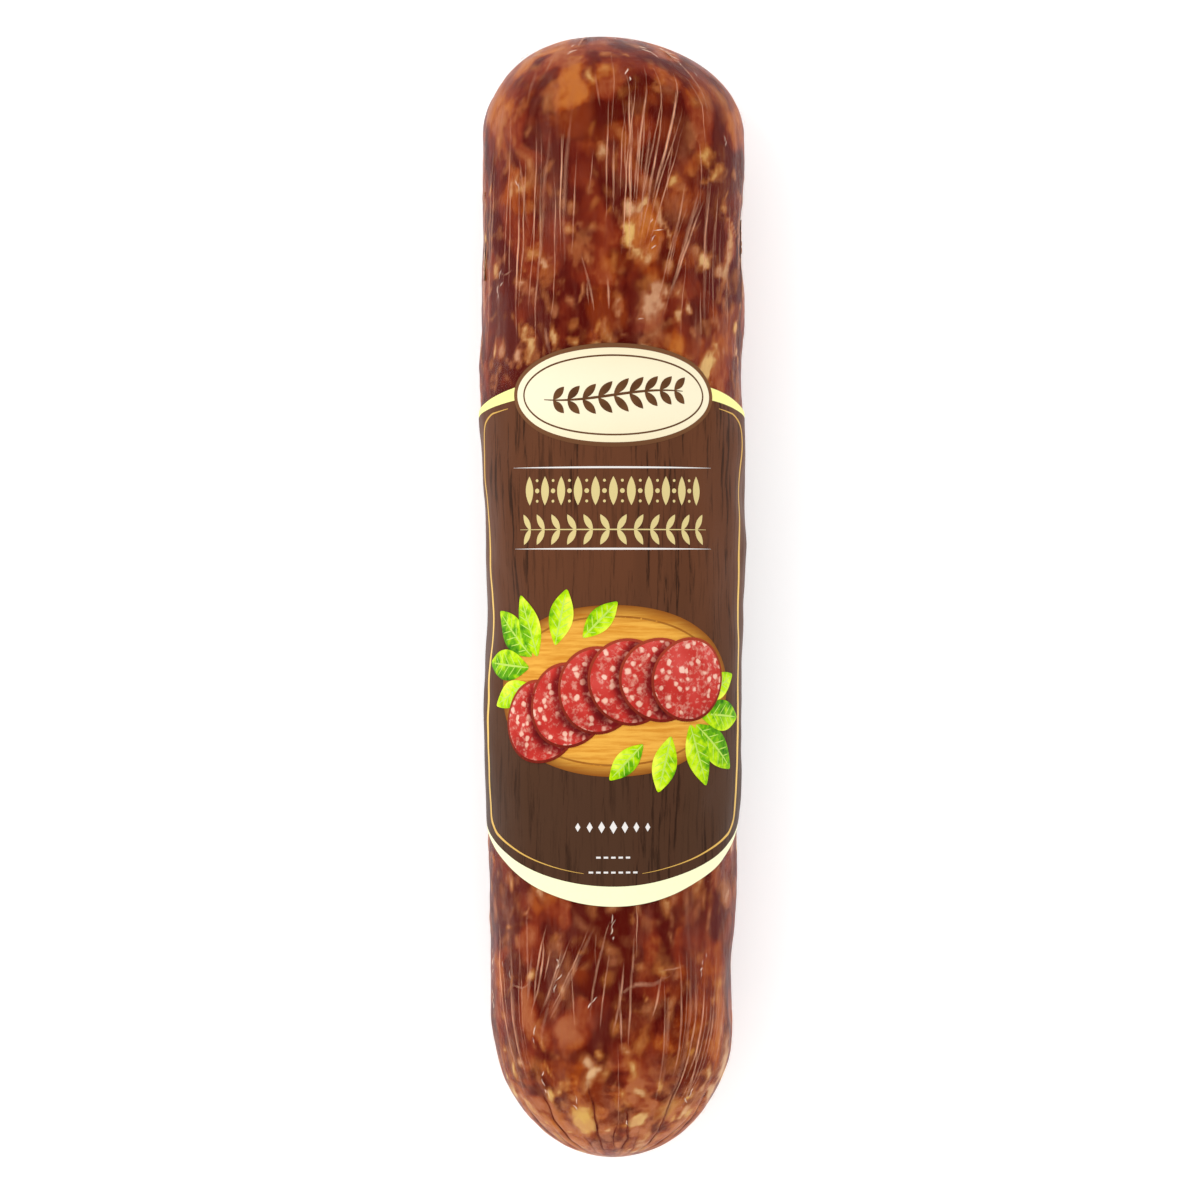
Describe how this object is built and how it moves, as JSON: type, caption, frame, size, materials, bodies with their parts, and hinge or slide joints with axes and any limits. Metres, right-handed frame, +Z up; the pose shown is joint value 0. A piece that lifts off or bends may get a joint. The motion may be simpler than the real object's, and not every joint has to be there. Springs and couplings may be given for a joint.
{
  "type": "cured sausage",
  "caption": "Whole cured sausage with two rounded ends, in a tight clear film with a printed label wrapped round its middle, lying on its flattened underside.",
  "frame": {"origin": "under the sausage's middle, on the surface that it lies on", "axes": "+Y along the sausage towards its blunt end, +X to its right, +Z up, with the label's face on top"},
  "size_m": [0.0724, 0.3, 0.0659],
  "materials": {
    "meat": "satin",
    "film": "gloss",
    "label": "satin"
  },
  "bodies": {
    "root": {"sausage": "meat", "film": "film", "label": "label"}
  },
  "joints": []
}
